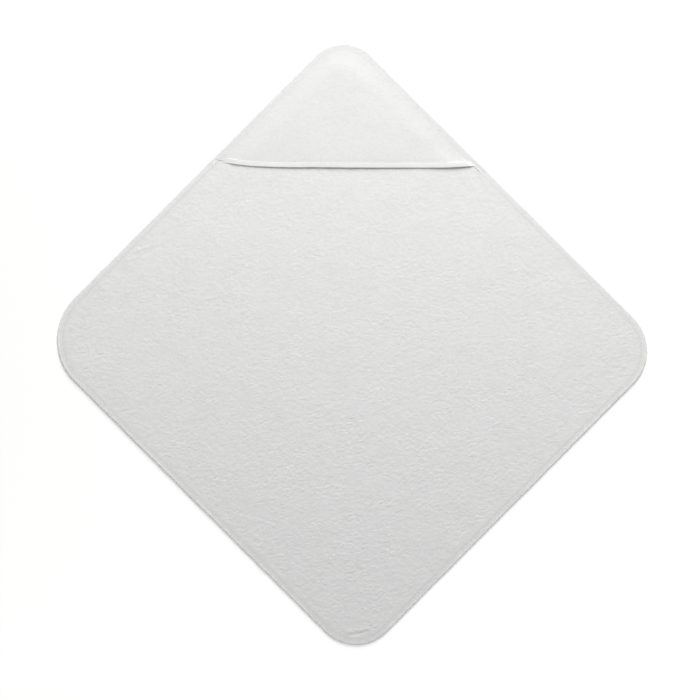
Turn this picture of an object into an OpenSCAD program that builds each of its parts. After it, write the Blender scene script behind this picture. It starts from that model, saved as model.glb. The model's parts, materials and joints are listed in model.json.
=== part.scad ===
// Hooded baby towel, laid flat on its back with the hood at the +Y corner.
// Terry cloth square and terry hood triangle, both bound with folded cotton tape.
// Millimetres. +X is the towel's right, +Y runs to the hood, +Z is up.
// The origin is under the middle of the outline's box, on the resting face.

/* [Towel] */
// Length of the two sides that run from the hood corner down to the right
side_long = 764; // [600:1:950]
// Length of the two sides that run from the hood corner down to the left
side_short = 736; // [600:1:950]
// Angle between the long sides and the X axis
lay_turn = 45; // [44:0.1:46]
// How far the cloth lies off square
lay_skew = 0.2; // [0:0.1:1]

/* [Corners] */
// Outer radius of the hood corner
top_r = 65; // [40:1:120]
// Outer radius of the right corner
right_r = 78; // [40:1:120]
// Outer radius of the foot corner
foot_r = 72; // [40:1:120]
// Outer radius of the left corner
left_r = 99; // [40:1:120]

/* [Terry] */
// Thickness of the towel cloth, pile included
terry_t = 3.2; // [2:0.1:6]
// Thickness of the towel cloth where the edge tape squeezes it
margin_t = 2; // [1.2:0.1:3]
// Thickness of the hood cloth, pile included
hood_t = 2.6; // [2:0.1:5]
// Thickness of the hood cloth where the edge tape squeezes it
hood_margin_t = 1.6; // [1:0.1:3]

/* [Tape] */
// Width of the edge tape that shows on each face
tape_w = 8.5; // [6:0.5:16]
// Width of the tape on the hood's free edge
hood_tape_w = 7; // [5:0.5:14]
// Thickness of the tape
tape_t = 0.6; // [0.4:0.1:0.8]

/* [Hood] */
// Depth of the hood, from the rounded corner to the middle of its free edge
hood_depth = 205; // [150:1:260]
// Angle by which the free edge runs down from left to right
edge_tilt = 0.6; // [0:0.1:3]
// How far the middle of the free edge stands off the towel
hood_rise = 6; // [5:1:30]
// Gap between the loose part of the hood and the edge tape it is sewn under
hood_gap = 0.8; // [0.5:0.1:2]
// Gap between the hood and the towel at the sewn sides
hood_rest = 0.3; // [0.2:0.1:1]

/* [Thread] */
// Width of a seam thread as laid
thread_w = 0.6; // [0.4:0.1:1]
// Height of a seam thread as laid
thread_h = 0.3; // [0.2:0.05:0.3]
// Distance of the seam from the tape's inner edge
seam_in = 1.6; // [1:0.1:3]

/* [Folding] */
// How deep the side and foot corners fold over, as a share of the shorter side
corner_share = 0.324; // [0.28:0.001:0.34]
// Slit that stands for the crease at each fold line
crease = 0.4; // [0.3:0.1:1]

/* [Hidden] */
// Straight steps in each rounded corner
corner_steps = 15;

terry_colour = [0.91, 0.91, 0.9];
tape_colour = [0.95, 0.95, 0.94];
thread_colour = [0.86, 0.86, 0.85];

// Anything longer than the towel, for cutting planes
far = 2000;
// Height that clears the raised hood, for cutting prisms
above = 200;
// How far a cutter runs past what it cuts
overrun = 1;

// Directions of the sides, going round T, R, B, L: hood, right, foot and left corner
long_dir = [cos(lay_turn), -sin(lay_turn)];
short_dir = [cos(lay_turn + lay_skew), sin(lay_turn + lay_skew)];
half_long = long_dir * side_long / 2;
half_short = short_dir * side_short / 2;
radii = [top_r, right_r, foot_r, left_r];

// Sharp corners about the middle of the cloth
raw_corner = [
    half_short - half_long,
    half_short + half_long,
    half_long - half_short,
    -half_long - half_short
];

function unit(v) = v / norm(v);
function after(i) = (i + 1) % 4;
function before(i) = (i + 3) % 4;

// Centre of the arc of radius r that rounds corner i of the points p
function arc_centre(p, i, r) =
    let(
        to_next = unit(p[after(i)] - p[i]),
        to_last = unit(p[before(i)] - p[i]),
        half_angle = acos(to_next * to_last) / 2
    )
    p[i] + unit(to_next + to_last) * r / sin(half_angle);

raw_centre = [for (i = [0:3]) arc_centre(raw_corner, i, radii[i])];

// Middle of the rounded outline's box, which becomes the origin
box_middle = [
    (raw_centre[1].x + right_r + raw_centre[3].x - left_r) / 2,
    (raw_centre[0].y + top_r + raw_centre[2].y - foot_r) / 2
];
corner = [for (p = raw_corner) p - box_middle];
centre = [for (p = raw_centre) p - box_middle];

// Outward normal of the side that starts at corner i
function side_normal(i) =
    let(d = unit(corner[after(i)] - corner[i])) [-d.y, d.x];

// Fold lines, so deep that two corners that share a side never meet on it
corner_depth = corner_share * min(side_long, side_short);
fold_x = (corner[1].x - corner[3].x) / 2 - corner_depth;
fold_y = (corner[0].y - corner[2].y) / 2 - corner_depth;

// Height of the bound edge, and of the bound edge where it also holds the hood
edge_h = margin_t + 2 * tape_t;
hood_edge_h = edge_h + hood_margin_t;

// The seam, measured in from the outline and from the hood's free edge
seam = tape_w - seam_in;
hood_seam = hood_tape_w - seam_in;

// Hood: the outline of the part that is free to lift starts this far in
hood_in = tape_w + hood_gap;
hood_base = max(terry_t, edge_h) + hood_rest;
edge_y = centre[0].y + top_r - hood_depth;

// Sharp corner of the loose part of the hood, and the line up to it that halves its angle
uphill = unit(corner[0] - centre[0]);
peak = centre[0] + (corner[0] - centre[0]) * (top_r - hood_in) / top_r;
edge_middle = peak + uphill * (edge_y - peak.y) / uphill.y;

// Directions along the free edge, and from it into the hood
edge_way = [cos(edge_tilt), -sin(edge_tilt)];
edge_in = [sin(edge_tilt), cos(edge_tilt)];

// Direction in plan from the sewn side of a hood half, left (-1) or right (1), into the hood
function inward(side) = -side_normal(side < 0 ? 3 : 0);

// Slope of each hood half: from its sewn side, at base height, up to the middle of the free edge
half_slope = atan(hood_rise / ((edge_middle - peak) * inward(1)));

// Point on the rounding of corner i, drawn in by inset, at a share of the way round it
function on_corner(i, inset, share) =
    let(
        start = side_normal(before(i)),
        turn = -acos(start * side_normal(i)) * share
    )
    centre[i] + (radii[i] - inset) * [
        start.x * cos(turn) - start.y * sin(turn),
        start.x * sin(turn) + start.y * cos(turn)
    ];

// The towel's outline, drawn in by inset
module outline(inset) {
    polygon([
        for (i = [0:3])
            for (step = [0:corner_steps])
                on_corner(i, inset, step / corner_steps)
    ]);
}

// A band that follows the outline, between two insets
module band(outer_in, inner_in) {
    difference() {
        outline(outer_in);
        outline(inner_in);
    }
}

// The side of the hood's free edge where the hood is, drawn in by inset
module hood_side(inset) {
    start = edge_middle + edge_in * inset;
    polygon([
        start - far * edge_way,
        start + far * edge_way,
        start + far * (edge_way + edge_in),
        start + far * (edge_in - edge_way)
    ]);
}

// The part of the plan that belongs to one field of the folded towel
module field(name) {
    half_crease = crease / 2;
    if (name == "left")
        translate([-far, -far / 2])
            square([far - fold_x - half_crease, far]);
    if (name == "right")
        translate([fold_x + half_crease, -far / 2])
            square([far, far]);
    if (name == "foot")
        translate([-far / 2, -far])
            square([far, far - fold_y - half_crease]);
    if (name == "centre")
        translate([-fold_x + half_crease, -fold_y + half_crease])
            square([2 * fold_x - crease, far]);
}

// Extrudes what lies in a field, from height low up by thick
module layer(name, low, thick) {
    translate([0, 0, low])
        linear_extrude(thick)
            intersection() {
                field(name);
                children();
            }
}

// Terry cloth of one field: full pile inside the tape, squeezed margin within it
module terry(name) {
    layer(name, 0, terry_t)
        outline(tape_w);
    layer(name, tape_t, margin_t)
        outline(tape_t);
}

// Folded edge tape of one field, with a groove for each seam thread
module edge_tape(name) {
    difference() {
        union() {
            layer(name, 0, edge_h)
                band(0, tape_w);
            if (name == "centre")
                layer(name, 0, hood_edge_h)
                    intersection() {
                        band(0, tape_w);
                        hood_side(0);
                    }
        }
        translate([0, 0, tape_t])
            linear_extrude(margin_t)
                outline(tape_t);
        translate([0, 0, tape_t + margin_t])
            linear_extrude(hood_margin_t)
                intersection() {
                    outline(tape_t);
                    hood_side(tape_t);
                }
        needle_thread(name);
        bobbin_thread(name);
    }
}

module seam_band() {
    band(seam - thread_w / 2, seam + thread_w / 2);
}

// Upper thread of the edge seam, sunk flush into the tape
module needle_thread(name) {
    if (name == "centre") {
        layer(name, hood_edge_h - thread_h, thread_h)
            intersection() {
                seam_band();
                hood_side(0);
            }
        layer(name, edge_h - thread_h, thread_h)
            difference() {
                seam_band();
                hood_side(0);
            }
    } else {
        layer(name, edge_h - thread_h, thread_h)
            seam_band();
    }
}

// Lower thread of the edge seam
module bobbin_thread(name) {
    layer(name, 0, thread_h)
        seam_band();
}

// The hood's sewn margin, held inside the edge tape
module hood_margin() {
    layer("centre", tape_t + margin_t, hood_margin_t)
        intersection() {
            band(tape_t, tape_w);
            hood_side(tape_t);
        }
}

// Space under both sloping halves of the loose hood, from height up off its underside
module hood_roof(height) {
    intersection_for (side = [-1, 1])
        translate([peak.x, peak.y, hood_base])
            rotate([0, 0, atan2(inward(side).y, inward(side).x) - 90])
                rotate([half_slope, 0, 0])
                    translate([-far / 2, -far / 2, height - above])
                        cube([far, far, above]);
}

// Layer of the loose hood between two heights and two distances from its free edge
module hood_layer(low, high, start, end, side_in = hood_in) {
    difference() {
        intersection() {
            hood_roof(high);
            linear_extrude(above)
                intersection() {
                    outline(side_in);
                    difference() {
                        hood_side(start);
                        hood_side(end);
                    }
                }
        }
        hood_roof(low);
    }
}

// One laid thread of the hood tape's seam
module hood_thread(low) {
    hood_layer(low, low + thread_h, hood_seam - thread_w / 2, hood_seam + thread_w / 2);
}

module towel_centre() {
    color(terry_colour)
        terry("centre");
}

module towel_left_corner() {
    color(terry_colour)
        terry("left");
}

module towel_right_corner() {
    color(terry_colour)
        terry("right");
}

module towel_foot_corner() {
    color(terry_colour)
        terry("foot");
}

module edge_tape_centre() {
    color(tape_colour)
        edge_tape("centre");
}

module edge_tape_left_corner() {
    color(tape_colour)
        edge_tape("left");
}

module edge_tape_right_corner() {
    color(tape_colour)
        edge_tape("right");
}

module edge_tape_foot_corner() {
    color(tape_colour)
        edge_tape("foot");
}

module needle_thread_centre() {
    color(thread_colour)
        needle_thread("centre");
}

module needle_thread_left_corner() {
    color(thread_colour)
        needle_thread("left");
}

module needle_thread_right_corner() {
    color(thread_colour)
        needle_thread("right");
}

module needle_thread_foot_corner() {
    color(thread_colour)
        needle_thread("foot");
}

module bobbin_thread_centre() {
    color(thread_colour)
        bobbin_thread("centre");
}

module bobbin_thread_left_corner() {
    color(thread_colour)
        bobbin_thread("left");
}

module bobbin_thread_right_corner() {
    color(thread_colour)
        bobbin_thread("right");
}

module bobbin_thread_foot_corner() {
    color(thread_colour)
        bobbin_thread("foot");
}

module hood_seam_margin() {
    color(terry_colour)
        hood_margin();
}

// Loose part of the hood: full pile up to its tape, and a squeezed margin within it
module hood_panel() {
    color(terry_colour) {
        hood_layer(0, hood_t, hood_tape_w, far / 2);
        hood_layer(tape_t, hood_t - tape_t, tape_t, hood_tape_w);
    }
}

// Folded tape on the hood's free edge, with a groove for each seam thread
module hood_tape() {
    seam_start = hood_seam - thread_w / 2;
    seam_end = hood_seam + thread_w / 2;
    cut_side = hood_in - overrun;
    color(tape_colour)
        difference() {
            hood_layer(0, hood_t, 0, hood_tape_w);
            hood_layer(tape_t, hood_t - tape_t, tape_t, hood_tape_w + overrun, cut_side);
            hood_layer(hood_t - thread_h, hood_t + overrun, seam_start, seam_end, cut_side);
            hood_layer(-overrun, thread_h, seam_start, seam_end, cut_side);
        }
}

module hood_needle_thread() {
    color(thread_colour)
        hood_thread(hood_t - thread_h);
}

module hood_bobbin_thread() {
    color(thread_colour)
        hood_thread(0);
}

towel_centre();
towel_left_corner();
towel_right_corner();
towel_foot_corner();
edge_tape_centre();
edge_tape_left_corner();
edge_tape_right_corner();
edge_tape_foot_corner();
needle_thread_centre();
needle_thread_left_corner();
needle_thread_right_corner();
needle_thread_foot_corner();
bobbin_thread_centre();
bobbin_thread_left_corner();
bobbin_thread_right_corner();
bobbin_thread_foot_corner();
hood_seam_margin();
hood_panel();
hood_tape();
hood_needle_thread();
hood_bobbin_thread();
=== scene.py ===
"""Hooded baby towel laid flat, hood corner at +Y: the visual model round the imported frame. Metres."""

import json
import logging
import math
from dataclasses import dataclass, field
from enum import Enum
from typing import Callable, Iterable, Sequence

import bpy
import numpy as np
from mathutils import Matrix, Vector


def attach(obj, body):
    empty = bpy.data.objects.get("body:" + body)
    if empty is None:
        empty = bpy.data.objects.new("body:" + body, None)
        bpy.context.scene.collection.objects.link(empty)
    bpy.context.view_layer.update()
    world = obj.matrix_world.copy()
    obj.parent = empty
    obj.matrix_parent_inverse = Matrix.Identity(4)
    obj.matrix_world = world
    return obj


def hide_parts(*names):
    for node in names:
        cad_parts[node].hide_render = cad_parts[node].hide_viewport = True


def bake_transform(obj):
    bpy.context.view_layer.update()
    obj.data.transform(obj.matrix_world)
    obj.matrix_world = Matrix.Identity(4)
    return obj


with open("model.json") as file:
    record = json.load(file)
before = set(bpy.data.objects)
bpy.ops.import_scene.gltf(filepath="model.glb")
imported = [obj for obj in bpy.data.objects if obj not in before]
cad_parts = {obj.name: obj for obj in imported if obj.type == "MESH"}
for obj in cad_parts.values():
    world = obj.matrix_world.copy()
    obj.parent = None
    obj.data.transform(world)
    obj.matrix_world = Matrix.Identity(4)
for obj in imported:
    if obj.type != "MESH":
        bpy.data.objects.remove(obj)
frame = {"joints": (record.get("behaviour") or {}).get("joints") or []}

Array = np.ndarray
HeightMap = Callable[[Array, Array], Array]
Tube = tuple[Array, list[list[int]], Array | None]
Piece = bpy.types.Object
Socket = bpy.types.NodeSocket
Material = bpy.types.Material

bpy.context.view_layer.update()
MM = 0.001
# Attribute holding each point's share of painted shade in the grooves at the tapes' edges.
SEAM_SHADE_ATTRIBUTE = "pressed_pile"
WALL_SIDES = 5
WHITE = (1.0, 1.0, 1.0)
LOG = logging.getLogger("baby_towel")

# A folded tape's section from its inner upper edge round the fold and back, as (inward, height) shares.
UNDERSIDE = (
    (0.12, 0.05), (0.30, 0.01), (0.55, 0.005), (0.73, 0.015), (0.81, 0.13), (0.90, 0.02), (0.97, 0.03),
    (1.0, 0.18),
)
EDGE_RING = (
    (1.0, 0.72), (1.003, 0.95), (0.99, 1.0), (0.94, 0.975), (0.85, 0.88), (0.76, 0.855), (0.55, 0.925),
    (0.30, 0.995), (0.10, 1.015), (-0.07, 0.93), (-0.17, 0.72), (-0.15, 0.44), (-0.05, 0.20), *UNDERSIDE,
)
HOOD_RING = (
    (1.0, 0.72), (1.002, 0.89), (0.985, 0.965), (0.93, 1.0), (0.82, 0.955), (0.73, 0.98), (0.55, 0.965),
    (0.30, 0.945), (0.10, 0.92), (-0.09, 0.84), (-0.17, 0.67), (-0.14, 0.44), (-0.05, 0.20), *UNDERSIDE,
)

# A stitch: places along and round it, its thickness, and how far its ends dive into the cloth.
ALONG = np.linspace(-0.5, 0.5, 6)
AROUND = np.arange(6) * math.tau / 6
TAPER = np.sqrt(np.clip(1 - (1.85 * ALONG) ** 4, 0.05, None))[:, None]
DIVE = 0.42 * MM * (2 * ALONG) ** 4


def ease(value: Array) -> Array:
    """Smooth step of value, held between 0 and 1."""
    held = np.clip(value, 0.0, 1.0)
    return held * held * (3.0 - 2.0 * held)


def between(low: Array, high: Array, share: Array) -> Array:
    """Mix of low and high by share."""
    return low + (high - low) * share


class Wobble:
    """Seeded smooth noise over the plane, between about -1 and 1."""

    SIZE = 512

    def __init__(self, seed: int) -> None:
        """Fill the lattice with random heights from the seed."""
        self.table = np.random.default_rng(seed).uniform(-1.0, 1.0, (self.SIZE, self.SIZE))

    def at(self, u: Array, v: Array) -> Array:
        """Noise at each point, whose coordinates are in lattice cells."""
        iu, iv = np.floor(u).astype(int), np.floor(v).astype(int)
        fu, fv = u - iu, v - iv
        fu = fu ** 3 * (fu * (fu * 6 - 15) + 10)
        fv = fv ** 3 * (fv * (fv * 6 - 15) + 10)
        a, b = iu % self.SIZE, (iu + 1) % self.SIZE
        c, d = iv % self.SIZE, (iv + 1) % self.SIZE
        near = between(self.table[a, c], self.table[b, c], fu)
        far = between(self.table[a, d], self.table[b, d], fu)
        return between(near, far, fv)


class Field(Enum):
    """Parts of the towel that turn on their own: the name of each is its CAD body's."""

    CENTRE = "root"
    LEFT = "left_corner"
    RIGHT = "right_corner"
    FOOT = "foot_corner"

    @property
    def label(self) -> str:
        """Name used for the pieces and CAD nodes of this field."""
        return "centre" if self is Field.CENTRE else self.value


class Side(Enum):
    """Upper and lower face of the cloth, with the CAD thread that runs on it."""

    UPPER = "needle_thread"
    UNDER = "bobbin_thread"


@dataclass(frozen=True)
class Outline:
    """Outline of the laid towel: four sides, hood corner first and clockwise, and rounded corners."""

    corners: tuple = (
        (-0.015133, 0.529778), (0.525097, -0.010451), (0.006486, -0.532695), (-0.533744, 0.007534),
    )
    centres: tuple = (
        (-0.014972, 0.437694), (0.414980, -0.010643), (0.006308, -0.430694), (-0.393980, 0.007778),
    )
    radii: tuple = (0.065, 0.078, 0.072, 0.099)

    def side(self, index: int) -> tuple[Array, Array, Array, float]:
        """Start point, direction, outward normal and length of the straight side after a corner."""
        first, second = np.array(self.corners[index]), np.array(self.corners[(index + 1) % 4])
        way = (second - first) / np.linalg.norm(second - first)
        normal = np.array((-way[1], way[0]))
        start = np.array(self.centres[index]) + normal * self.radii[index]
        end = np.array(self.centres[(index + 1) % 4]) + normal * self.radii[(index + 1) % 4]
        return start, way, normal, float((end - start) @ way)

    def pieces(self) -> list[tuple[float, float, int]]:
        """Start length, end length and number of each part of the rim: sides 0 to 3, roundings 4 to 7."""
        rows, run = [], 0.0
        for index in range(4):
            length = self.side(index)[3]
            rows.append((run, run + length, index))
            run += length
            corner = (index + 1) % 4
            here, ahead = self.side(index)[2], self.side(corner)[2]
            arc = math.acos(float(here @ ahead)) * self.radii[corner]
            rows.append((run, run + arc, 4 + corner))
            run += arc
        return rows

    @property
    def length(self) -> float:
        """Length of the whole rim."""
        return self.pieces()[-1][1]

    def rim(self, run: Array) -> tuple[Array, Array]:
        """Points on the rim and outward normals, at lengths run off along it."""
        run = np.mod(np.asarray(run, float), self.length)
        points, normals = np.zeros((len(run), 2)), np.zeros((len(run), 2))
        for low, high, number in self.pieces():
            here = (run >= low) & (run <= high)
            if number < 4:
                start, way, normal, _ = self.side(number)
                points[here] = start + np.outer(run[here] - low, way)
                normals[here] = normal
            else:
                corner = number - 4
                first = self.side((corner + 3) % 4)[2]
                angle = math.atan2(first[1], first[0]) - (run[here] - low) / self.radii[corner]
                out = np.stack((np.cos(angle), np.sin(angle)), axis=1)
                points[here] = np.array(self.centres[corner]) + out * self.radii[corner]
                normals[here] = out
        return points, normals

    def locate(self, x: Array, y: Array) -> tuple[Array, Array, Array]:
        """Depth inside the nearest place of the rim, length run off to it and outward normals."""
        shape = np.shape(x)
        point = np.stack((np.ravel(x), np.ravel(y)), axis=1)
        depth = np.full(len(point), np.inf)
        along = np.zeros(len(point))
        normals = np.zeros((len(point), 2))
        for low, _, number in sorted(self.pieces(), key=lambda row: row[2] > 3):
            corner = number % 4
            start, way, normal, _ = self.side(corner)
            if number < 4:
                inside = (start - point) @ normal
                here = inside < depth
                depth[here] = inside[here]
                along[here] = (low + (point - start) @ way)[here]
                normals[here] = normal
                continue
            radius = self.radii[corner]
            arm = point - np.array(self.centres[corner])
            _, before, first, _ = self.side((corner + 3) % 4)
            here = (arm @ before > 0) & (arm @ way < 0)
            reach = np.maximum(np.linalg.norm(arm[here], axis=1), 1e-9)
            out = arm[here] / reach[:, None]
            depth[here] = radius - reach
            turned = math.atan2(first[1], first[0]) - np.arctan2(out[:, 1], out[:, 0])
            along[here] = low + np.mod(turned + math.pi, math.tau) * radius - math.pi * radius
            normals[here] = out
        return depth.reshape(shape), along.reshape(shape), normals.reshape(shape + (2,))

    def crossing(self, number: int, axis: int, value: float) -> float:
        """Length run off along the rim to where a side reaches a value of X (axis 0) or Y (axis 1)."""
        low = next(row[0] for row in self.pieces() if row[2] == number)
        start, way, _, _ = self.side(number)
        return low + (value - start[axis]) / way[axis]


@dataclass(frozen=True)
class Folds:
    """Fold lines of the side and foot corners, and the width of cloth that bends at each."""

    line_x: float
    line_y: float
    reach: float = 8 * MM

    @classmethod
    def read(cls) -> "Folds":
        """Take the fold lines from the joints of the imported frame."""
        place = {joint["name"]: joint["pos_m"] for joint in frame["joints"]}
        return cls(place["right_corner_fold"][0], -place["foot_corner_fold"][1])

    @property
    def split_x(self) -> float:
        """Distance from X = 0 at which the side corners' own cloth starts."""
        return self.line_x - self.reach

    @property
    def split_y(self) -> float:
        """Distance below Y = 0 at which the foot corner's own cloth starts."""
        return self.line_y - self.reach

    def of(self, x: Array, y: Array) -> Array:
        """Field number of each point, in the order of the Field members."""
        number = np.where(y < -self.split_y, 3, 0)
        number = np.where(x > self.split_x, 2, number)
        return np.where(x < -self.split_x, 1, number)

    def bend(self, piece: Piece, part: Field) -> None:
        """Join a finished centre piece, with no parent yet, to its field's body; for a corner's piece only
        bake its place into its mesh.
        """
        if part is Field.CENTRE:
            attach(piece, part.value)
            return
        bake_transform(piece)


@dataclass(frozen=True)
class Crease:
    """A short soft ridge or dent in the laid cloth."""

    x: float
    y: float
    length: float
    width: float
    angle: float
    height: float

    def at(self, x: Array, y: Array) -> Array:
        """Height that the crease adds at each point."""
        turn = math.radians(self.angle)
        along = (x - self.x) * math.cos(turn) + (y - self.y) * math.sin(turn)
        across = (y - self.y) * math.cos(turn) - (x - self.x) * math.sin(turn)
        return self.height * np.exp(-(along / self.length) ** 2 - (across / self.width) ** 2)


def make_mesh(name: str, points: Array, faces: Iterable[Sequence[int]],
              normals: Array | None = None) -> Piece:
    """Make a smooth-shaded piece, with flat many-sided ends and any normals given per face corner."""
    mesh = bpy.data.meshes.new(name)
    mesh.from_pydata(points.tolist(), [], list(faces))
    mesh.validate()
    mesh.update()
    mesh.shade_smooth()
    for face in mesh.polygons:
        if face.loop_total > WALL_SIDES:
            face.use_smooth = False
    if normals is not None and len(mesh.loops) == len(normals):
        mesh.normals_split_custom_set(normals.tolist())
    piece = bpy.data.objects.new(name, mesh)
    bpy.context.scene.collection.objects.link(piece)
    LOG.info("%s: %d faces", name, len(mesh.polygons))
    return piece


def vertices(piece: Piece) -> Array:
    """Vertex positions of a piece."""
    points = np.zeros(len(piece.data.vertices) * 3)
    piece.data.vertices.foreach_get("co", points)
    return points.reshape(-1, 3)


def ladder(*stops: tuple[float, float]) -> Array:
    """Lines with two fine cells to a coarse one; a stop is a coordinate and the coarse step after it."""
    lines = [stops[0][0]]
    for (low, step), (high, _) in zip(stops, stops[1:]):
        count = 2 * max(1, round((high - low) / step))
        lines.extend(low + (high - low) * k / count for k in range(1, count + 1))
    return np.array(lines)


@dataclass
class ClothPatch:
    """A piece of terry with real thickness: fine pile side, coarser lower side and closed edges."""

    name: str
    lines_x: Array
    lines_y: Array
    keep: Array
    settle: Callable[[Array, Array], tuple[Array, Array]]
    upper: HeightMap
    lower: HeightMap
    seam_shade_share: HeightMap
    probe: float = 0.4 * MM

    def slopes(self, height: HeightMap, x: Array, y: Array) -> Array:
        """Unit normals of a height map, pointing up."""
        along = (height(x + self.probe, y) - height(x - self.probe, y)) / (2 * self.probe)
        across = (height(x, y + self.probe) - height(x, y - self.probe)) / (2 * self.probe)
        normals = np.stack((-along, -across, np.ones_like(along)), axis=-1)
        return normals / np.linalg.norm(normals, axis=-1, keepdims=True)

    def build(self) -> tuple[Piece, float]:
        """Build the mesh, and measure its flat area."""
        x, y = self.settle(*np.meshgrid(self.lines_x, self.lines_y, indexing="ij"))
        cells = np.nonzero(self.keep)
        i, j = 2 * cells[0], 2 * cells[1]
        fine, coarse = np.zeros(x.shape, bool), np.zeros(x.shape, bool)
        big = ((0, 0), (0, 2), (2, 2), (2, 0))
        for p, q in np.ndindex(3, 3):
            fine[i + p, j + q] = True
        for p, q in big:
            coarse[i + p, j + q] = True
        number, under = np.full(x.shape, -1), np.full(x.shape, -1)
        number[fine] = np.arange(fine.sum())
        under[coarse] = fine.sum() + np.arange(coarse.sum())
        top, low = (x[fine], y[fine]), (x[coarse], y[coarse])
        points = np.concatenate((
            np.stack((*top, self.upper(*top)), axis=1),
            np.stack((*low, self.lower(*low)), axis=1),
        ))
        soft = np.concatenate((self.slopes(self.upper, *top), -self.slopes(self.lower, *low)))

        quads = []
        for a, b in np.ndindex(2, 2):
            corners = ((a, b), (a + 1, b), (a + 1, b + 1), (a, b + 1))
            quads.append(np.stack([number[i + p, j + q] for p, q in corners], axis=1))
        quads.append(np.stack([under[i + p, j + q] for p, q in big], axis=1))
        quads = np.concatenate(quads)
        normals, walls = [soft[quads.ravel()]], []
        padded = np.pad(self.keep, 1)
        sides = (
            ((0, -1), ((0, 0), (1, 0), (2, 0))),
            ((1, 0), ((2, 0), (2, 1), (2, 2))),
            ((0, 1), ((2, 2), (1, 2), (0, 2))),
            ((-1, 0), ((0, 2), (0, 1), (0, 0))),
        )
        for (di, dj), edge in sides:
            bare = ~padded[cells[0] + 1 + di, cells[1] + 1 + dj]
            wi, wj = i[bare], j[bare]
            low = [under[wi + p, wj + q] for p, q in (edge[0], edge[2])]
            high = [number[wi + p, wj + q] for p, q in edge[::-1]]
            walls.append(np.stack((*low, *high), axis=1))
            normals.append(np.tile((di, dj, 0.0), (walls[-1].size, 1)))
        faces = quads.tolist() + np.concatenate(walls).tolist()
        piece = make_mesh(self.name, points, faces, np.concatenate(normals))
        # Each point's share of painted seam shade, which the pile's material uses to darken it.
        seam = piece.data.attributes.new(SEAM_SHADE_ATTRIBUTE, "FLOAT", "POINT")
        seam.data.foreach_set("value", self.seam_shade_share(points[:, 0], points[:, 1]).astype(np.float32))
        spans = np.outer(np.diff(self.lines_x[::2]), np.diff(self.lines_y[::2]))
        return piece, float((spans * self.keep).sum())


@dataclass(frozen=True)
class FoldedTape:
    """Cross-section of a tape folded over an edge."""

    width: float
    height: float
    ring: tuple
    steps: int = 2

    def section(self) -> tuple[Array, Array]:
        """Smooth the ring: inward distances, and heights as shares of the tape's height."""
        knots = np.array(self.ring)
        t = (np.arange(self.steps) / self.steps)[None, :, None]
        a, b, c, d = (np.roll(knots, -k, axis=0)[:, None, :] for k in (-1, 0, 1, 2))
        cubic = (3 * b - a - 3 * c + d) * t ** 3
        curve = 0.5 * (2 * b + (c - a) * t + (2 * a - 5 * b + 4 * c - d) * t ** 2 + cubic)
        smooth = curve.reshape(-1, 2)
        return smooth[:, 0] * self.width, smooth[:, 1]


def sweep(rows: Array, normals: Array | None = None) -> Tube:
    """Join rings, as (ring, point, 3), into a closed tube with flat ends and any normals given."""
    count, around = rows.shape[:2]
    base = np.arange(count - 1)[:, None] * around
    here = np.arange(around)[None, :]
    after = (here + 1) % around
    quads = np.stack((base + here, base + after, base + around + after, base + around + here), axis=-1)
    quads = quads.reshape(-1, 4)
    ends = [list(range(around))[::-1], [(count - 1) * around + k for k in range(around)]]
    corners = None
    if normals is not None:
        way = [rows[0].mean(axis=0) - rows[1].mean(axis=0), rows[-1].mean(axis=0) - rows[-2].mean(axis=0)]
        flat = [np.tile(end / np.linalg.norm(end), (around, 1)) for end in way]
        corners = np.concatenate([normals.reshape(-1, 3)[quads.ravel()], *flat])
    return rows.reshape(-1, 3), quads.tolist() + ends, corners


def gather(name: str, tubes: Sequence[Tube]) -> Piece:
    """Put several tubes in one mesh."""
    points, faces, corners, start = [], [], [], 0
    for part, part_faces, part_corners in tubes:
        points.append(part)
        faces.extend([start + k for k in face] for face in part_faces)
        start += len(part)
        corners.append(part_corners)
    normals = None if corners[0] is None else np.concatenate(corners)
    return make_mesh(name, np.concatenate(points), faces, normals)


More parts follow.
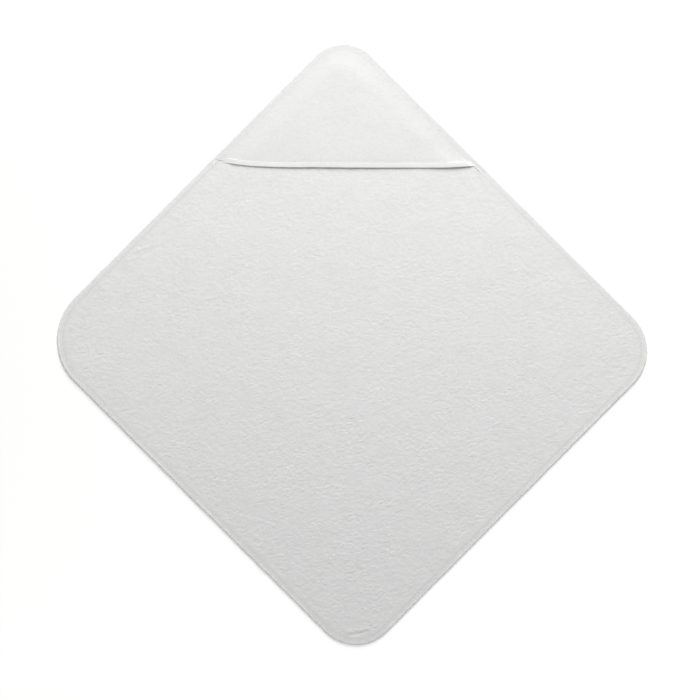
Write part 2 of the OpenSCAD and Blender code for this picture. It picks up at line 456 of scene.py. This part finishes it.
class NodeBoard:
    """Short way to set up one material's nodes."""

    def __init__(self, name: str) -> None:
        """Make the material of this name."""
        self.material = bpy.data.materials.new(name)
        self.material.use_nodes = True
        self.tree = self.material.node_tree
        self.shader = self.tree.nodes["Principled BSDF"]

    def node(self, kind: str, **values: object) -> bpy.types.Node:
        """Add a node, with values for its properties and, with _ for spaces, for its inputs."""
        made = self.tree.nodes.new(kind)
        for key, value in values.items():
            if hasattr(made, key):
                setattr(made, key, value)
            else:
                made.inputs[key.replace("_", " ")].default_value = value
        return made

    def link(self, source: Socket, target: Socket) -> None:
        """Join two sockets."""
        self.tree.links.new(source, target)

    def place(self, scale: Sequence[float], turn: float = 0.0) -> Socket:
        """Coordinates on the piece at rest, in repeats per metre, turned about Z by degrees."""
        source = self.node("ShaderNodeTexCoord")
        mapping = self.node("ShaderNodeMapping", Scale=scale, Rotation=(0.0, 0.0, math.radians(turn)))
        self.link(source.outputs["Object"], mapping.inputs["Vector"])
        return mapping.outputs["Vector"]

    def noise(self, scale: Sequence[float], detail: float) -> Socket:
        """Noise with the given repeats per metre."""
        made = self.node("ShaderNodeTexNoise", Scale=1.0, Detail=detail, Roughness=0.55)
        self.link(self.place(scale), made.inputs["Vector"])
        return made.outputs["Fac"]

    def cells(self, scale: Sequence[float]) -> Socket:
        """Distance to the nearest of scattered points, for loops of pile."""
        made = self.node("ShaderNodeTexVoronoi", Scale=1.0, Randomness=0.9)
        self.link(self.place(scale), made.inputs["Vector"])
        return made.outputs["Distance"]

    def bands(self, scale: float, turn: float) -> Socket:
        """Fine straight bands across a direction, for woven yarns."""
        made = self.node("ShaderNodeTexWave", Scale=1.0, Distortion=1.2, Detail=1.0, wave_profile="SIN")
        self.link(self.place((scale, scale, scale), turn), made.inputs["Vector"])
        return made.outputs["Fac"]

    def ramp(self, source: Socket, dark: Sequence[float], light: Sequence[float],
             low: float, high: float) -> Socket:
        """Turn a value into a colour, dark where it is low and light where it is high."""
        made = self.node("ShaderNodeValToRGB")
        for stop, place, colour in zip(made.color_ramp.elements, (low, high), (dark, light)):
            stop.position = place
            stop.color = (*colour, 1.0)
        self.link(source, made.inputs["Fac"])
        return made.outputs["Color"]

    def multiply(self, *colours: Socket) -> Socket:
        """Multiply colours."""
        product = colours[0]
        for colour in colours[1:]:
            made = self.node("ShaderNodeMix", data_type="RGBA", blend_type="MULTIPLY")
            made.inputs[0].default_value = 1.0
            self.link(product, made.inputs[6])
            self.link(colour, made.inputs[7])
            product = made.outputs[2]
        return product

    def settings(self, **values: object) -> None:
        """Set plain values of the shader, by input name with _ for spaces."""
        for key, value in values.items():
            self.shader.inputs[key.replace("_", " ")].default_value = value

    def finish(self, colour: Socket, bumps: Sequence[tuple], **values: float) -> Material:
        """Finish the material with bumps, each a height, its strength and its depth in metres."""
        self.link(colour, self.shader.inputs["Base Color"])
        self.settings(**values)
        last = None
        for height, strength, depth in bumps:
            made = self.node("ShaderNodeBump", Strength=strength, Distance=depth)
            self.link(height, made.inputs["Height"])
            if last is not None:
                self.link(last, made.inputs["Normal"])
            last = made.outputs["Normal"]
        self.link(last, self.shader.inputs["Normal"])
        return self.material


@dataclass(frozen=True)
class TerryFinish:
    """White looped cotton pile."""

    name: str = "terry_pile"
    light: tuple = (0.866, 0.870, 0.868)
    dark: tuple = (0.843, 0.848, 0.846)
    ripple_depth: float = 0.30 * MM
    loop_depth: float = 0.22 * MM
    roughness: float = 0.95
    sheen: float = 0.18
    # Painted shade: the colour that darkens the pile in the groove along the tapes' edges.
    seam_shade: tuple = (0.91, 0.914, 0.91)

    def make(self) -> Material:
        """Build the material."""
        board = NodeBoard(self.name)
        ripples = board.noise((140.0, 235.0, 140.0), detail=1.5)
        loops = board.cells((520.0, 640.0, 520.0))
        fibres = board.noise((2300.0, 2300.0, 2300.0), detail=2.0)
        mottle = board.noise((26.0, 34.0, 26.0), detail=3.0)
        tone = board.ramp(mottle, self.dark, self.light, 0.20, 0.62)
        # Painted shade: the pile is darker in the hollows between its loops and in the valleys of its
        # ripples.
        hollows = board.ramp(loops, WHITE, (0.93, 0.93, 0.93), 0.25, 0.85)
        valley_shade = board.ramp(ripples, (0.965, 0.966, 0.965), WHITE, 0.30, 0.60)
        # Painted shade: the pile is darkened where the tapes' edges meet it, by each point's seam shade
        # share.
        seam_shade_share = board.node("ShaderNodeAttribute", attribute_name=SEAM_SHADE_ATTRIBUTE)
        seam = board.ramp(seam_shade_share.outputs["Fac"], WHITE, self.seam_shade, 0.0, 1.0)
        return board.finish(
            board.multiply(tone, hollows, valley_shade, seam),
            ((ripples, 0.55, self.ripple_depth), (loops, 0.35, self.loop_depth), (fibres, 0.40, 0.08 * MM)),
            Roughness=self.roughness, Sheen_Weight=self.sheen, Sheen_Roughness=0.6, Specular_IOR_Level=0.12,
        )


@dataclass(frozen=True)
class HoodFinish(TerryFinish):
    """The same pile as the towel's, finer and flatter, and painted a shade darker to tone down the light on
    the hood.
    """

    name: str = "hood_pile"
    light: tuple = (0.840, 0.841, 0.833)
    dark: tuple = (0.822, 0.823, 0.815)
    ripple_depth: float = 0.08 * MM
    loop_depth: float = 0.12 * MM


@dataclass(frozen=True)
class TapeFinish:
    """White woven cotton tape with fine crossing yarns."""

    name: str = "woven_tape"
    light: tuple = (0.935, 0.937, 0.932)
    dark: tuple = (0.900, 0.903, 0.897)
    yarns: float = 780.0
    roughness: float = 0.8

    def make(self) -> Material:
        """Build the material."""
        board = NodeBoard(self.name)
        warp = board.bands(self.yarns, 45.0)
        weft = board.bands(self.yarns, -45.0)
        slubs = board.noise((160.0, 160.0, 160.0), detail=3.0)
        yarns = [board.ramp(band, (0.95, 0.95, 0.95), WHITE, 0.1, 0.6) for band in (warp, weft)]
        weave = board.multiply(*yarns)
        tone = board.ramp(slubs, self.dark, self.light, 0.25, 0.60)
        return board.finish(
            board.multiply(tone, weave),
            ((slubs, 0.4, 0.15 * MM), (warp, 0.45, 0.10 * MM), (weft, 0.45, 0.10 * MM)),
            Roughness=self.roughness, Sheen_Weight=0.08, Specular_IOR_Level=0.25,
        )


@dataclass(frozen=True)
class ThreadFinish:
    """White sewing thread with its twist."""

    name: str = "sewing_thread"
    light: tuple = (0.88, 0.88, 0.87)
    dark: tuple = (0.72, 0.72, 0.71)
    twist: float = 1500.0
    roughness: float = 0.55

    def make(self) -> Material:
        """Build the material."""
        board = NodeBoard(self.name)
        twist = board.bands(self.twist, 20.0)
        colour = board.ramp(twist, self.dark, self.light, 0.1, 0.7)
        return board.finish(colour, ((twist, 0.5, 0.08 * MM),), Roughness=self.roughness)


@dataclass(frozen=True)
class Finishes:
    """The finishes of the towel, by the record's slots, and the hood's own copy of the pile, painted a
    shade darker.
    """

    terry: Material
    tape: Material
    thread: Material
    hood: Material

    def put(self, piece: Piece, slot: str, own: str = "") -> None:
        """Dress a piece with a slot's finish; own is a finish to use in place of the slot's."""
        piece.data.materials.append(getattr(self, own or slot))


@dataclass
class HoodShape:
    """Shape of the hood: where its free edge runs and how high its cloth stands."""

    outline: Outline
    tape_width: float = 7.0 * MM
    edge_y: float = 296.3 * MM
    left_end: float = -228.0 * MM
    right_end: float = 208.0 * MM
    left_curl: float = 8.6 * MM
    right_curl: float = 2.6 * MM
    sewn_in: float = 9.3 * MM
    full_reach: float = 0.1548
    mouth_x: float = 0.168
    base: float = 3.5 * MM
    rise: float = 0.7 * MM
    gape: float = 1.1 * MM
    thick: float = 1.62 * MM
    taped: float = 1.52 * MM
    margin_low: float = 2.4 * MM
    margin_high: float = 3.75 * MM
    ridge_soft: float = 45.0 * MM
    ripple: float = 0.03 * MM
    wave: Wobble = field(default_factory=lambda: Wobble(41))
    fine: Wobble = field(default_factory=lambda: Wobble(42))

    def free_edge(self, x: Array) -> Array:
        """Y of the free edge's outer side at each X."""
        left = np.clip((-0.112 - x) / 0.105, 0.0, None) ** 2 * self.left_curl
        right = np.clip((x - 0.140) / 0.065, 0.0, None) ** 2 * self.right_curl
        droop = 0.5 * MM * np.sin((x + 0.02) / 0.072)
        return self.edge_y + left + right - droop * ease((0.19 - np.abs(x)) / 0.05)

    def reach(self, x: Array, y: Array) -> Array:
        """Distance in from the nearer sewn side, with the ridge between the halves rounded."""
        gaps = []
        for number in (3, 0):
            start, _, normal, _ = self.outline.side(number)
            gaps.append((start[0] - x) * normal[0] + (start[1] - y) * normal[1])
        near, far = np.minimum(*gaps), np.maximum(*gaps)
        return near - self.ridge_soft / 4 * np.clip(1 - (far - near) / self.ridge_soft, 0.0, None) ** 2

    def share(self, x: Array, y: Array) -> Array:
        """How far a point is from the sewn sides, 0 on them and 1 at the free edge's middle."""
        return np.clip((self.reach(x, y) - self.sewn_in) / self.full_reach, 0.0, 1.05)

    def lower(self, x: Array, y: Array) -> Array:
        """Height of the hood's underside."""
        depth = self.outline.locate(x, y)[0]
        loose = self.base + self.rise * self.share(x, y)
        mouth = np.exp(-((x - self.mouth_x) / 0.034) ** 2 - ((y - self.edge_y) / 0.022) ** 2)
        loose = loose + self.gape * mouth
        loose = loose + 0.35 * MM * self.wave.at(x / 0.060, y / 0.045) * ease(self.share(x, y) * 4)
        return between(self.margin_low, loose, ease((depth - 7 * MM) / (7 * MM)))

    def upper(self, x: Array, y: Array) -> Array:
        """Height of the hood's pile side."""
        depth = self.outline.locate(x, y)[0]
        room = ease((y - self.free_edge(x) - self.tape_width + 1.0 * MM) / (9 * MM))
        full = self.lower(x, y) + between(self.taped, self.thick, room)
        full = full + self.ripple * self.fine.at(x / 0.0042, y / 0.0030)
        return between(self.margin_high, full, ease((depth - 7.6 * MM) / (36 * MM)))

    def seam_shade_share(self, x: Array, y: Array) -> Array:
        """Share of painted shade in the grooves where the tapes' edges meet the pile, from 0 to 1."""
        depth = self.outline.locate(x, y)[0]
        sewn = np.exp(-((depth - 8.8 * MM) / (1.7 * MM)) ** 2)
        edge = np.exp(-((y - self.free_edge(x) - self.tape_width) / (1.5 * MM)) ** 2)
        return 0.35 * np.maximum(sewn, edge)

    def lift(self, points: Array) -> Array:
        """Share of the hood joint's turn that each point takes."""
        return np.clip(ease(self.share(points[:, 0], points[:, 1])), 0.0, 1.0)

    def bend(self, piece: Piece) -> None:
        """Bake a finished piece's place into its mesh, and work out each point's share of the hood's lift,
        which nothing keeps.
        """
        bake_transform(piece)
        weights = self.lift(vertices(piece)).astype(np.float32)


@dataclass
class TowelShape:
    """Heights of the towel square's two faces."""

    outline: Outline
    tape_width: float = 8.5 * MM
    pile: float = 3.2 * MM
    pinched: float = 3.20 * MM
    settle_over: float = 12.0 * MM
    ripple: float = 0.14 * MM
    swell: float = 0.13 * MM
    pucker: float = 0.28 * MM
    creases: tuple = (
        Crease(-0.356, 0.158, 0.016, 0.0028, 20.0, 0.33 * MM),
        Crease(-0.349, 0.149, 0.014, 0.0026, 28.0, -0.3 * MM),
        Crease(-0.362, 0.144, 0.012, 0.0024, 12.0, 0.24 * MM),
        Crease(-0.238, -0.276, 0.014, 0.0026, 40.0, 0.5 * MM),
        Crease(-0.246, -0.267, 0.012, 0.0024, 48.0, -0.45 * MM),
        Crease(-0.476, 0.040, 0.013, 0.0030, 68.0, -0.9 * MM),
        Crease(-0.470, 0.030, 0.012, 0.0034, 66.0, 0.5 * MM),
        Crease(0.008, -0.4865, 0.018, 0.0028, 12.0, -0.65 * MM),
        Crease(0.012, -0.4790, 0.018, 0.0038, 10.0, 0.3 * MM),
        Crease(0.214, 0.274, 0.020, 0.0075, -62.0, -0.45 * MM),
        Crease(0.224, 0.268, 0.020, 0.0075, -62.0, 0.40 * MM),
    )
    grain: Wobble = field(default_factory=lambda: Wobble(11))
    patch: Wobble = field(default_factory=lambda: Wobble(12))
    drift: Wobble = field(default_factory=lambda: Wobble(13))
    broad: Wobble = field(default_factory=lambda: Wobble(14))
    gathers: Wobble = field(default_factory=lambda: Wobble(15))

    def upper(self, x: Array, y: Array) -> Array:
        """Height of the pile side."""
        depth, along, _ = self.outline.locate(x, y)
        free = ease((depth - self.tape_width + 0.6 * MM) / self.settle_over)
        strength = np.clip(0.85 + 0.45 * (0.10 - y) / 0.5, 0.55, 1.35)
        strength = strength * np.clip(1 + 0.45 * self.patch.at(x / 0.030, y / 0.022), 0.35, None)
        shifted = y + 2.0 * MM * self.drift.at(x / 0.012, y / 0.010)
        height = self.ripple * strength * self.grain.at(x / 0.0037, shifted / 0.0029)
        height = height + self.swell * self.broad.at(x / 0.085, y / 0.060)
        height = height + 0.4 * self.swell * self.broad.at(x / 0.030 + 40, y / 0.022 + 70)
        reach = np.exp(-np.clip(depth - self.tape_width, 0, None) / 0.016)
        height = height + self.pucker * reach * self.gathers.at(along / 0.0085, depth / 0.040)
        for crease in self.creases:
            height = height + crease.at(x, y)
        return between(self.pinched, self.pile, free) + height * free

    def seam_shade_share(self, x: Array, y: Array) -> Array:
        """Share of painted shade in the groove where the tape's edge meets the pile, from 0 to 1."""
        depth = self.outline.locate(x, y)[0]
        return np.exp(-((depth - self.tape_width - 0.3 * MM) / (1.7 * MM)) ** 2)

    def lower(self, x: Array, y: Array) -> Array:
        """Height of the side that lies on the floor."""
        depth = self.outline.locate(x, y)[0]
        free = ease((depth - self.tape_width) / self.settle_over)
        hollows = 0.12 * MM * (1 + self.broad.at(x / 0.05, y / 0.04))
        return between(0.7 * MM, 0.05 * MM + hollows, free)


@dataclass
class TowelSquare:
    """The terry square: a centre and three corners that fold over it."""

    shape: TowelShape
    folds: Folds
    finishes: Finishes
    outer_x: float = 0.4955
    low_y: float = -0.5055
    high_y: float = 0.5050
    edge_in: float = 1.6 * MM
    coarse_x: float = 6.0 * MM
    coarse_y: float = 4.0 * MM
    fold_step: float = 2.7 * MM

    def held_in(self, x: Array, y: Array) -> tuple[Array, Array]:
        """Draw points that lie outside the cloth's cut edge back to it."""
        depth, _, normals = self.shape.outline.locate(x, y)
        over = np.clip(self.edge_in - depth, 0.0, None)
        return x - over * normals[..., 0], y - over * normals[..., 1]

    def build(self) -> dict[Field, tuple[Piece, float]]:
        """Build the piece of each field, and measure its flat area."""
        folds = self.folds
        near, far = folds.split_x, folds.split_x + 2 * folds.reach
        foot, toe = -folds.split_y, -folds.split_y - 2 * folds.reach
        lines_x = ladder((-self.outer_x, self.coarse_x), (-far, self.fold_step), (-near, self.coarse_x),
                         (near, self.fold_step), (far, self.coarse_x), (self.outer_x, 0))
        lines_y = ladder((self.low_y, self.coarse_y), (toe, self.fold_step),
                         (foot, self.coarse_y), (self.high_y, 0))
        middle_x, middle_y = np.meshgrid(lines_x[1::2], lines_y[1::2], indexing="ij")
        inside = self.shape.outline.locate(middle_x, middle_y)[0] > self.edge_in
        number = folds.of(middle_x, middle_y)
        made = {}
        for index, part in enumerate(Field):
            keep = inside & (number == index)
            patch = ClothPatch(f"towel_{part.label}_cloth", lines_x, lines_y, keep, self.held_in,
                               self.shape.upper, self.shape.lower, self.shape.seam_shade_share)
            piece, area = patch.build()
            self.finishes.put(piece, "terry")
            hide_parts(f"towel_{part.label}")
            folds.bend(piece, part)
            made[part] = (piece, area)
        return made


@dataclass
class EdgeTape:
    """The tape folded round the towel's rim, with its two rows of stitches."""

    outline: Outline
    folds: Folds
    hood: HoodShape
    finishes: Finishes
    profile: FoldedTape = FoldedTape(8.5 * MM, 3.2 * MM, EDGE_RING)
    step: float = 2.6 * MM
    probe: float = 0.5 * MM
    hood_extra: float = 0.60 * MM
    hood_fade: float = 16.0 * MM
    seam: float = 6.9 * MM
    stitch: float = 2.5 * MM
    pitch: float = 3.1 * MM
    thread: float = 0.32 * MM
    ruffle: Wobble = field(default_factory=lambda: Wobble(21))
    runout: Wobble = field(default_factory=lambda: Wobble(22))

    def __post_init__(self) -> None:
        """Find where the rim crosses the fold lines and meets the hood's free edge."""
        across, down = self.folds.split_x, self.folds.split_y
        rim = self.outline
        self.marks = (
            rim.crossing(0, 0, across), rim.crossing(1, 0, across), rim.crossing(1, 1, -down),
            rim.crossing(2, 1, -down), rim.crossing(2, 0, -across), rim.crossing(3, 0, -across),
        )
        left, right = self.hood.free_edge(np.array([self.hood.left_end, self.hood.right_end]))
        self.hood_start = rim.crossing(3, 1, float(left))
        self.hood_end = rim.crossing(0, 1, float(right))

    def height(self, run: Array) -> Array:
        """Full height of the folded tape along the rim, more where it also holds the hood."""
        whole = self.outline.length
        place = np.mod(run - self.hood_start, whole)
        zone = np.mod(self.hood_end - self.hood_start, whole)
        fade = self.hood_fade
        held = ease((place + fade) / fade) * ease((zone + fade - place) / fade)
        held = np.maximum(held, ease((place - whole + fade) / fade))
        turn = np.mod(run, whole)
        puckers = 0.11 * MM * self.ruffle.at(turn / 0.0075, turn * 0)
        puckers = puckers + 0.12 * MM * self.ruffle.at(turn / 0.028, turn * 0 + 9)
        return self.profile.height + self.hood_extra * held + puckers

    def tube(self, start: float, end: float, lean: tuple[float, float]) -> Tube:
        """Sweep the tape along a run of the rim, with lean as the slant of the cut at each end."""
        count = max(4, round((end - start) / self.step))
        run = np.linspace(start, end, count + 1)
        fade = min(0.05, (end - start) / 2)
        slant = np.interp(run, (start, start + fade, end - fade, end), (lean[0], 0.0, 0.0, lean[1]))
        inward, share = self.profile.section()
        stations = run[:, None] + slant[:, None] * inward[None, :]
        ahead = self.surface(stations + self.probe, inward, share)
        along = ahead - self.surface(stations - self.probe, inward, share)
        after = self.surface(stations, np.roll(inward, -1), np.roll(share, -1))
        around = after - self.surface(stations, np.roll(inward, 1), np.roll(share, 1))
        normals = np.cross(around, along)
        normals = normals / np.linalg.norm(normals, axis=-1, keepdims=True)
        return sweep(self.surface(stations, inward, share), normals)

    def surface(self, stations: Array, inward: Array, share: Array) -> Array:
        """Points of the tape, as (ring, point, 3), from places along the rim and points of its ring."""
        points, normals = self.outline.rim(stations.ravel())
        place = np.mod(stations, self.outline.length)
        wander = 0.22 * MM * self.runout.at(place / 0.021, place * 0)
        depth = inward[None, :] + wander * (1 - inward / self.profile.width)[None, :]
        flat = points.reshape(*stations.shape, 2) - depth[..., None] * normals.reshape(*stations.shape, 2)
        level = share[None, :] * self.height(stations)
        return np.concatenate((flat, level[..., None]), axis=-1)

    def runs(self) -> dict[Field, list[tuple[float, float]]]:
        """Start and end of the runs of tape of each field."""
        a, b, c, d, e, f = self.marks
        return {
            Field.RIGHT: [(a, b)],
            Field.FOOT: [(c, d)],
            Field.LEFT: [(e, f)],
            Field.CENTRE: [(f, a + self.outline.length), (b, c), (d, e)],
        }

    def exact(self, run: float, axis: int) -> float:
        """Slant that lays a cut at this place along its fold line."""
        _, normal = self.outline.rim(np.array([run]))
        way = (normal[0, 1], -normal[0, 0])
        return float(normal[0, axis] / way[axis])

    def build(self) -> dict[Field, list[Piece]]:
        """Build the tape and both rows of stitches of every field."""
        axis_of = dict(zip(self.marks, (0, 0, 1, 1, 0, 0)))
        made: dict[Field, list[Piece]] = {}
        for part, rows in self.runs().items():
            tubes = []
            for start, end in rows:
                last = end - self.outline.length if end > self.outline.length else end
                lean = (self.exact(start, axis_of[start]), self.exact(end, axis_of.get(last, 0)))
                tubes.append(self.tube(start, end, lean))
            piece = gather(f"edge_tape_{part.label}_band", tubes)
            self.finishes.put(piece, "tape")
            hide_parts(f"edge_tape_{part.label}")
            self.folds.bend(piece, part)
            made[part] = [piece]
        self.sew(made)
        return made

    def sew(self, made: dict[Field, list[Piece]]) -> None:
        """Lay the stitches of both faces in the tape's groove, and add them to the pieces made."""
        count = round(self.outline.length / self.pitch)
        middle = np.arange(count) * self.outline.length / count
        points, normals = self.outline.rim(middle)
        centre = points - self.seam * normals
        number = self.folds.of(centre[:, 0], centre[:, 1])
        for side in Side:
            for index, part in enumerate(Field):
                tubes = [self.one_stitch(place, side) for place in middle[number == index]]
                row = "upper" if side is Side.UPPER else "under"
                piece = gather(f"{row}_stitches_{part.label}", tubes)
                self.finishes.put(piece, "thread")
                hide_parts(f"{side.value}_{part.label}")
                self.folds.bend(piece, part)
                made[part].append(piece)

    def one_stitch(self, place: float, side: Side) -> Tube:
        """Make one stitch, with its middle at this place along the rim."""
        run = place + ALONG * self.stitch
        points, normals = self.outline.rim(run)
        height = self.height(run)
        if side is Side.UPPER:
            level = 0.88 * height + 0.04 * MM - DIVE
        else:
            level = 0.115 * height + 0.02 * MM + DIVE
        thick = self.thread * TAPER
        out = self.seam - thick * np.cos(AROUND)
        flat = points[:, None, :] - out[..., None] * normals[:, None, :]
        rise = level[:, None] + 0.8 * thick * np.sin(AROUND)
        return sweep(np.concatenate((flat, rise[..., None]), axis=-1))


@dataclass
class Hood:
    """The hood triangle, sewn down on two sides, with a taped free edge."""

    shape: HoodShape
    finishes: Finishes
    profile: FoldedTape = FoldedTape(7.0 * MM, 2.15 * MM, HOOD_RING)
    span_x: tuple = (-0.245, 0.225)
    span_y: tuple = (0.290, 0.506)
    edge_in: float = 2.0 * MM
    coarse_x: float = 5.0 * MM
    coarse_y: float = 4.0 * MM
    step: float = 2.4 * MM
    seam: float = 5.6 * MM
    stitch: float = 2.4 * MM
    pitch: float = 3.0 * MM
    thread: float = 0.28 * MM
    ruffle: Wobble = field(default_factory=lambda: Wobble(31))

    def room(self, x: Array, y: Array) -> tuple[Array, Array]:
        """Depth inside the cut edges of the hood, and outward normals there."""
        depth, _, normals = self.shape.outline.locate(x, y)
        over_edge = y - self.shape.free_edge(x)
        lower = over_edge < depth
        down = np.zeros_like(normals)
        down[..., 1] = -1.0
        return np.minimum(depth, over_edge), np.where(lower[..., None], down, normals)

    def held_in(self, x: Array, y: Array) -> tuple[Array, Array]:
        """Draw points that lie outside the cut edges back to them."""
        for _ in range(3):
            depth, normals = self.room(x, y)
            over = np.clip(self.edge_in - depth, 0.0, None)
            x, y = x - over * normals[..., 0], y - over * normals[..., 1]
        return x, y

    def cloth(self) -> tuple[Piece, float]:
        """Build the terry of the hood, and measure its flat area."""
        lines_x = ladder((self.span_x[0], self.coarse_x), (self.span_x[1], 0))
        lines_y = ladder((self.span_y[0], self.coarse_y), (self.span_y[1], 0))
        middle_x, middle_y = np.meshgrid(lines_x[1::2], lines_y[1::2], indexing="ij")
        keep = self.room(middle_x, middle_y)[0] > self.edge_in
        patch = ClothPatch("hood_cloth", lines_x, lines_y, keep, self.held_in,
                           self.shape.upper, self.shape.lower, self.shape.seam_shade_share)
        piece, area = patch.build()
        # The hood gets the darker copy of the pile: painted shade.
        self.finishes.put(piece, "terry", "hood")
        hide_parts("hood_panel", "hood_seam_margin")
        self.shape.bend(piece)
        return piece, area

    def level(self, x: Array, y: Array, share: Array) -> Array:
        """Height of points of the hood tape's ring, from their share of the tape's height."""
        depth = self.shape.outline.locate(x, y)[0]
        free = ease((depth - 7 * MM) / (12 * MM))
        tucked = ease((-0.196 - x) / 0.022)
        lowest = self.shape.lower(x, y) - 0.3 * MM * free - 1.7 * MM * tucked
        full = self.profile.height + 0.14 * MM * self.ruffle.at(x / 0.008, x * 0)
        return lowest + share * between(1.3 * MM, full, free)

    def tape(self) -> Piece:
        """Build the tape folded round the free edge."""
        count = round((self.shape.right_end - self.shape.left_end) / self.step)
        x = np.linspace(self.shape.left_end, self.shape.right_end, count + 1)[::-1]
        inward, share = self.profile.section()
        wide = np.broadcast_to(x[:, None], (len(x), len(inward)))
        edge = self.shape.free_edge(wide) + 0.18 * MM * self.ruffle.at(wide / 0.017, wide * 0 + 5)
        deep = edge + inward[None, :]
        level = self.level(wide, deep, np.broadcast_to(share, wide.shape))
        piece = gather("hood_tape_band", [sweep(np.stack((wide, deep, level), axis=-1))])
        self.finishes.put(piece, "tape")
        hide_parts("hood_tape")
        self.shape.bend(piece)
        return piece

    def stitches(self, side: Side) -> Piece:
        """Build the row of stitches on one face of the hood tape."""
        upper = side is Side.UPPER
        dive = -DIVE[:, None] if upper else DIVE[:, None]
        thick = self.thread * TAPER
        tubes = []
        for middle in np.arange(self.shape.left_end + 0.012, self.shape.right_end - 0.010, self.pitch):
            x = (middle - ALONG * self.stitch)[:, None] + 0 * AROUND[None, :]
            y = self.shape.free_edge(x) + self.seam - thick * np.cos(AROUND)
            share = np.full_like(x, 0.92 if upper else 0.10)
            level = self.level(x, y, share) + dive + 0.8 * thick * np.sin(AROUND)
            tubes.append(sweep(np.stack((x, y, level), axis=-1)))
        piece = gather("hood_upper_stitches" if upper else "hood_under_stitches", tubes)
        self.finishes.put(piece, "thread")
        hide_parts("hood_needle_thread" if upper else "hood_bobbin_thread")
        self.shape.bend(piece)
        return piece

    def build(self) -> tuple[Piece, float, list[Piece]]:
        """Build the cloth, measure its flat area, and build the tape and stitches on it."""
        cloth, area = self.cloth()
        trim = [self.tape()]
        trim.extend(self.stitches(side) for side in Side)
        return cloth, area, trim


@dataclass
class Studio:
    """Pale floor, soft light from the hood's side and a camera straight above."""

    aim: tuple = (-3.7 * MM, -10.1 * MM)
    lens: float = 135.0
    distance: float = 4.40
    floor_size: float = 12.0
    glow_low: float = 0.355
    glow_high: float = 0.10
    key_place: tuple = (0.42, 2.90, 1.80)
    key_width: float = 1.3
    key_height: float = 2.4
    key_power: float = 138.8
    fill: float = 0.330

    def floor(self) -> None:
        """Lay the plain floor."""
        half = self.floor_size / 2
        points = np.array([(-half, -half, 0.0), (half, -half, 0.0), (half, half, 0.0), (-half, half, 0.0)])
        plane = make_mesh("studio_floor", points, [(0, 1, 2, 3)])
        board = NodeBoard("pale_floor")
        board.settings(Base_Color=(0.94, 0.94, 0.94, 1.0), Roughness=1.0, Specular_IOR_Level=0.0,
                       Emission_Color=(*WHITE, 1.0))
        source = board.node("ShaderNodeTexCoord")
        parts = board.node("ShaderNodeSeparateXYZ")
        glow = board.node("ShaderNodeMapRange", From_Min=-0.55, From_Max=0.40,
                          To_Min=self.glow_low, To_Max=self.glow_high)
        board.link(source.outputs["Object"], parts.inputs["Vector"])
        board.link(parts.outputs["Y"], glow.inputs["Value"])
        board.link(glow.outputs["Result"], board.shader.inputs["Emission Strength"])
        plane.data.materials.append(board.material)

    def light(self) -> None:
        """Set the large soft light and the even fill."""
        lamp = bpy.data.lights.new("soft_key", "AREA")
        lamp.shape = "RECTANGLE"
        lamp.size = self.key_width
        lamp.size_y = self.key_height
        lamp.energy = self.key_power
        lamp.color = (1.0, 0.995, 0.982)
        holder = bpy.data.objects.new("soft_key", lamp)
        holder.location = self.key_place
        way = Vector((0.0, -0.05, 0.0)) - Vector(self.key_place)
        holder.rotation_euler = way.to_track_quat("-Z", "Y").to_euler()
        bpy.context.scene.collection.objects.link(holder)
        world = bpy.data.worlds.new("studio")
        world.use_nodes = True
        sky = world.node_tree.nodes["Background"]
        sky.inputs["Color"].default_value = (0.984, 1.0, 0.992, 1.0)
        sky.inputs["Strength"].default_value = self.fill
        bpy.context.scene.world = world

    def camera(self) -> None:
        """Set the camera straight above, with the hood at the top of the view."""
        data = bpy.data.cameras.new("overhead")
        data.lens = self.lens
        data.sensor_width = 36.0
        data.clip_end = 50.0
        holder = bpy.data.objects.new("overhead", data)
        holder.location = (*self.aim, self.distance)
        bpy.context.scene.collection.objects.link(holder)
        bpy.context.scene.camera = holder

    def build(self) -> None:
        """Set up everything round the towel."""
        self.floor()
        self.light()
        self.camera()
        bpy.context.scene.view_settings.view_transform = "Standard"
        bpy.context.scene.view_settings.look = "None"


@dataclass
class HoodedTowel:
    """The whole towel, put together in sewing order."""

    finishes: Finishes
    outline: Outline = field(default_factory=Outline)
    folds: Folds = field(default_factory=Folds.read)

    def build(self) -> None:
        hood_shape = HoodShape(self.outline)
        fields = TowelSquare(TowelShape(self.outline), self.folds, self.finishes).build()
        trims = EdgeTape(self.outline, self.folds, hood_shape, self.finishes).build()
        cloth, hood_area, hood_trim = Hood(hood_shape, self.finishes).build()
        for part, (piece, area) in fields.items():
            self.flat(piece)
        self.flat(cloth)

    @staticmethod
    def flat(piece: Piece) -> tuple[float, float]:
        """Width and depth of a laid piece."""
        size = np.ptp(vertices(piece), axis=0)
        return size[0], size[1]


def main() -> None:
    """Build the towel and the studio."""
    logging.basicConfig(level=logging.INFO, format="%(message)s")
    looks = (TerryFinish(), TapeFinish(), ThreadFinish(), HoodFinish())
    finishes = Finishes(*[look.make() for look in looks])
    Studio().build()
    HoodedTowel(finishes).build()


if __name__ == "__main__":
    main()
